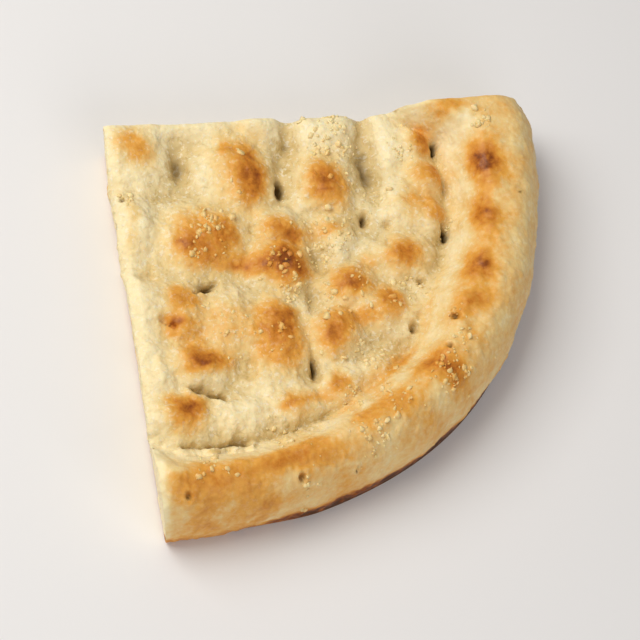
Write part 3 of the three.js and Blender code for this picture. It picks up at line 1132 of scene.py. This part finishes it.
def crust_finish(colours):
    """The upper skin and outer wall, browned where the mesh says, with painted shade in the valleys, small
    dimples and dents, and painted contact shadow at the foot.
    """
    crust = Finish("baked_crust")
    toast, pressed, pit, rim = (crust.painted(name) for name in ("toast", "pressed", "pit", "rim"))
    speckle = crust.noise(1.3, 5.0, 0.62)
    cloud = crust.noise(5.0, 4.0, 0.55, 0.4)
    bubbly = crust.bubbles(1.5)
    heat = toast + (speckle - 0.5) * (toast * 0.55 + 0.16) + (cloud - 0.5) * (toast * 0.40 + 0.16)
    heat = heat + (bubbly - 0.45) * (toast * 0.16 + 0.03)
    baked = crust.ramp(heat.clamped(), baking_stops(colours))
    cool = (1 - toast * 1.6).clamped()
    # Valleys tinted partly for the pressed dough's own tone and partly as painted shade.
    valley_tinted_and_shaded = crust.blend(pressed * cool * 0.8, baked, colours.pressed)
    flecked = crust.noise(0.95, 3.0, 0.6, 0.3).stepped(0.53, 0.66) * cool * (1 - rim * 0.6)
    dry = crust.blend(flecked * 0.55, valley_tinted_and_shaded, colours.flour)
    # Painted shade of small dimples, stronger in the valleys and weaker on the rim.
    dimple = crust.noise(1.5, 3.0, 0.6, 0.5).stepped(0.47, 0.34)
    dimple = dimple * (pressed * 0.6 + 0.25) * (1 - rim * 0.7)
    dimple_shaded = crust.blend(dimple * cool * 0.7, dry, colours.dimple_shade)
    # Painted shade deep in the dents and popped bubbles.
    deep = crust.blend(pit, dimple_shaded, colours.pit)
    skin = crust.noise(0.6, 3.0, 0.6)
    height = speckle * 0.8 + skin * 0.35 - bubbly.stepped(0.1, 0.6) * 0.45 + flecked * 0.2
    height = height * (1 - rim * 0.55)
    rough = 0.52 - toast * 0.10 + (cloud - 0.5) * 0.25
    normal = crust.bump(height, 0.22, 1.0)
    return crust.surface({**SOFT_DOUGH, "Base Color": deep, "Roughness": rough, "Normal": normal})


def crumb_finish(colours):
    """The cut faces: pale open crumb, with painted shade inside its bubbles, between a thin crust above and
    a darker heel below.
    """
    crumb = Finish("cut_crumb")
    pore, rind = crumb.painted("pore"), crumb.painted("rind")
    cells = crumb.bubbles(0.75)
    grain = crumb.noise(0.8, 4.0, 0.6)
    # Painted shade inside the crumb's bubbles, from the mesh and from small shader cells.
    hollow = (pore * 0.9 + (0.42 - cells).stepped(0.0, 0.3) * 0.35).clamped()
    shade = crumb.blend(hollow, colours.crumb, colours.pore)
    edge = crumb.ramp((rind + (grain - 0.5) * 0.25).clamped(), baking_stops(colours))
    joined = crumb.blend(rind.stepped(0.04, 0.4), shade, edge)
    height = grain * 0.6 + cells.stepped(0.05, 0.45) * 0.5
    rough = 0.85 - rind * 0.2
    normal = crumb.bump(height, 0.22, 0.9)
    return crumb.surface({**SOFT_DOUGH, "Base Color": joined, "Roughness": rough, "Normal": normal})


def base_finish(colours):
    """The underside: hearth-baked golden brown, blotched darker, with a little flour left on it."""
    base = Finish("baked_underside")
    blotch = base.noise(13.0, 5.0, 0.6, 0.6)
    speckle = base.noise(1.6, 4.0, 0.65)
    heat = (blotch - 0.5) * 1.5 + (speckle - 0.5) * 0.5 + 0.56
    baked = base.ramp(heat.clamped(), baking_stops(colours))
    flour = base.noise(3.2, 6.0, 0.72).stepped(0.54, 0.72) * base.noise(22.0, 2.0).stepped(0.42, 0.6)
    dusted = base.blend(flour * 0.6, baked, LOOSE_FLOUR)
    height = base.noise(0.7, 3.0) * 0.5 + base.noise(2.8, 3.0) * 0.8
    rough = 0.72 + flour * 0.2
    normal = base.bump(height, 0.3, 0.8)
    return base.surface({**SOFT_DOUGH, "Base Color": dusted, "Roughness": rough, "Normal": normal})


def grain_finish(colours):
    """Semolina grains, slightly glassy, some of them toasted."""
    grain = Finish("semolina")
    toast = grain.painted("toast")
    stops = [(0.0, colours.grain), (0.35, colours.warm), (0.8, colours.golden), (1.0, colours.brown)]
    shade = grain.ramp(toast, stops)
    fine = grain.noise(0.3, 2.0)
    return grain.surface(
        {
            "Base Color": shade,
            "Roughness": 0.38 + fine * 0.2,
            "Normal": grain.bump(fine, 0.05, 0.6),
            "Subsurface Weight": 0.25,
            "Subsurface Radius": (1.0, 0.6, 0.3),
            "Subsurface Scale": 0.0008,
        }
    )


def table_finish(colours):
    table = Finish("pale_table")
    return table.surface({"Base Color": (*colours.floor, 1.0), "Roughness": 0.9, "Specular IOR Level": 0.1})


# ---------------------------------------------------------------- operators


def mark_creases(mesh, line):
    """Keeps the shading crisp along a line of vertices."""
    ends = np.empty(len(mesh.edges) * 2, np.int32)
    mesh.edges.foreach_get("vertices", ends)
    layer = mesh.attributes.new("sharp_edge", "BOOLEAN", "EDGE")
    layer.data.foreach_set("value", np.isin(ends.reshape(-1, 2), line).all(1))


class NAAN_OT_bake_wedge(bpy.types.Operator):
    """Shape the wedge of bread and give it its crust, crumb and underside"""

    bl_idname = "naan.bake_wedge"
    bl_label = "Bake wedge"

    def execute(self, context):
        scene = context.scene
        body, dough = wedge_mesh(scene.naan_shape)
        mesh = body.build("bread", row_offset(dough))
        finishes = [finish(scene.naan_colours) for finish in (crust_finish, crumb_finish, base_finish)]
        bread = put_on_body("bread", mesh, *finishes)
        side = scene.naan_shape.squares + 1
        mark_creases(bread.data, np.arange(side) * side)
        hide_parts(WEDGE_NODE)
        return {"FINISHED"}


def icosphere(subdivisions):
    """Points and faces of a ball of radius 1."""
    ball = bpy.data.meshes.new("ball")
    shaper = bmesh.new()
    bmesh.ops.create_icosphere(shaper, subdivisions=subdivisions, radius=1.0)
    shaper.to_mesh(ball)
    shaper.free()
    points = np.array([v.co for v in ball.vertices])
    faces = np.array([list(p.vertices) for p in ball.polygons])
    bpy.data.meshes.remove(ball)
    return points, faces


class NAAN_OT_scatter_grains(bpy.types.Operator):
    """Scatter semolina grains where they stuck to the crust"""

    bl_idname = "naan.scatter_grains"
    bl_label = "Scatter grains"

    PLENTY = 1.5
    SPREAD = 0.6
    SMALLEST = 0.22
    LARGEST_EXTRA = 0.48
    LUMP_DEPTH = 0.5
    CLEAR_OF_TABLE = 3.0

    def execute(self, context):
        scene = context.scene
        dough = Dough(scene.naan_shape)
        points, down = dough.skin(scene.naan_shape.squares)
        inner = (slice(1, -1), slice(1, -1))
        spots = points[inner].reshape(-1, 3)
        clear = spots[:, 2] > self.CLEAR_OF_TABLE
        spots = spots[clear]
        facing = net_normals(points)[inner].reshape(-1, 3)[clear]
        heat = dough.toast(points, down)[inner].reshape(-1)[clear]
        draw = np.random.default_rng(scene.naan_shape.seed + 11)
        ball, ball_faces = icosphere(2)
        grains, faces, toast = [], [], []
        for cx, cy, spread, number in GRAIN_PATCHES:
            for _ in range(round(number * self.PLENTY)):
                goal = np.array([cx, cy]) + draw.normal(size=2) * spread * self.SPREAD
                index = np.argmin(((spots[:, :2] - goal) ** 2).sum(1))
                size = self.SMALLEST + self.LARGEST_EXTRA * draw.random() ** 2
                shaped = self.lumpy(ball, dough.uneven, draw) * size
                sunk = spots[index] + facing[index] * size * draw.uniform(-0.6, 0.0)
                faces.append(ball_faces + len(ball) * len(grains))
                grains.append(shaped + sunk)
                browned = heat[index] * 0.9 + 0.1 + draw.normal() * 0.12
                toast.append(np.full(len(ball), np.clip(browned, 0, 1)))
        placed = np.concatenate(grains) + row_offset(dough)
        mesh = new_mesh("semolina", placed, np.concatenate(faces).tolist(), {"toast": toast})
        put_on_body("semolina_grains", mesh, grain_finish(scene.naan_colours))
        return {"FINISHED"}

    def lumpy(self, ball, uneven, draw):
        """A ball stretched, dented and turned into one broken grain."""
        stretch = draw.uniform(0.5, 1.6, 3)
        lumps = 1 + self.LUMP_DEPTH * uneven.at(ball * 2.4, 1.0, draw.uniform(0, 50))
        turn = np.linalg.qr(draw.normal(size=(3, 3)))[0]
        return (ball * lumps[:, None] * stretch) @ turn


def aim(thing, location, target, roll=0.0):
    """Places a camera or a light and points it at a target."""
    facing = (Vector(target) - Vector(location)).to_track_quat("-Z", "Y").to_matrix().to_4x4()
    thing.matrix_world = Matrix.Translation(location) @ facing @ Matrix.Rotation(roll, 4, "Z")


class NAAN_OT_set_stage(bpy.types.Operator):
    """Set the pale table, the soft light and the camera"""

    bl_idname = "naan.set_stage"
    bl_label = "Set stage"

    TABLE_HALF = 3.0
    TABLE_GAP = 0.0002
    AIM_ASIDE = (-0.0088, -0.0014)
    AIM_HEIGHT = 0.012
    SENSOR_WIDTH = 36.0
    CLIP_END = 20.0
    WHITE_ROOM = (1.0, 0.99, 0.97, 1.0)

    # The softboxes: name, place from the bread, width, share of the key light's power, tint.
    SOFTBOXES = (
        ("key", (-0.44, 0.23, 0.64), 0.55, 1.0, (1.0, 0.985, 0.93)),
        ("fill", (0.15, -0.63, 0.42), 0.6, 0.3, (1.0, 0.98, 0.96)),
    )

    def execute(self, context):
        scene = context.scene
        light = scene.naan_light
        self.add_table(scene)
        low, high = CAD_BOX
        aside_x, aside_y = self.AIM_ASIDE
        aim_x, aim_y = 0.5 * (low.x + high.x) + aside_x, 0.5 * (low.y + high.y) + aside_y
        target = Vector((aim_x, aim_y, self.AIM_HEIGHT))
        self.add_camera(scene, light, target)
        for name, place, width, share, tint in self.SOFTBOXES:
            lamp = bpy.data.lights.new(name, "AREA")
            lamp.shape = "SQUARE"
            lamp.size = width
            lamp.energy = light.key_power * share
            lamp.color = tint
            aim(put_in_scene(name, lamp), target + Vector(place), target)
        world = bpy.data.worlds.new("white_room")
        world.use_nodes = True
        sky = world.node_tree.nodes["Background"]
        sky.inputs["Color"].default_value = self.WHITE_ROOM
        sky.inputs["Strength"].default_value = light.sky
        scene.world = world
        scene.view_settings.view_transform = "Standard"
        return {"FINISHED"}

    def add_table(self, scene):
        half = self.TABLE_HALF
        drop = CAD_BOX[0].z - self.TABLE_GAP
        mesh = bpy.data.meshes.new("table")
        corners = [(-half, -half, drop), (half, -half, drop), (half, half, drop), (-half, half, drop)]
        mesh.from_pydata(corners, [], [(0, 1, 2, 3)])
        table = put_in_scene("table", mesh, table_finish(scene.naan_colours))

    def add_camera(self, scene, light, target):
        camera = bpy.data.cameras.new("camera")
        camera.lens = light.lens
        camera.sensor_width = self.SENSOR_WIDTH
        camera.clip_end = self.CLIP_END
        level = math.cos(light.view_elevation)
        back_x = math.sin(light.view_azimuth) * level
        back_y = -math.cos(light.view_azimuth) * level
        back = Vector((back_x, back_y, math.sin(light.view_elevation)))
        scene.camera = put_in_scene("camera", camera)
        aim(scene.camera, target + back * light.view_distance, target, light.view_roll)


class NAAN_PT_sidebar(bpy.types.Panel):
    """Lists the sizes, colours, lights and steps of the naan wedge"""

    bl_idname = "NAAN_PT_sidebar"
    bl_label = "Naan wedge"
    bl_space_type = "VIEW_3D"
    bl_region_type = "UI"
    bl_category = "Naan"

    def draw(self, context):
        layout = self.layout
        for group_name in GROUPS:
            group = getattr(context.scene, group_name)
            box = layout.box()
            for name in group.__annotations__:
                box.prop(group, name)
        for step in STEPS:
            layout.operator(step.bl_idname)


GROUPS = {"naan_shape": NaanShape, "naan_colours": NaanColours, "naan_light": NaanLight}
STEPS = (NAAN_OT_bake_wedge, NAAN_OT_scatter_grains, NAAN_OT_set_stage)
CLASSES = (*GROUPS.values(), *STEPS, NAAN_PT_sidebar)


def register():
    for cls in CLASSES:
        bpy.utils.register_class(cls)
    for name, group in GROUPS.items():
        setattr(bpy.types.Scene, name, PointerProperty(type=group))


def unregister():
    for name in GROUPS:
        delattr(bpy.types.Scene, name)
    for cls in reversed(CLASSES):
        bpy.utils.unregister_class(cls)


def main():
    register()
    bpy.ops.naan.bake_wedge()
    bpy.ops.naan.scatter_grains()
    bpy.ops.naan.set_stage()


if __name__ == "__main__":
    main()
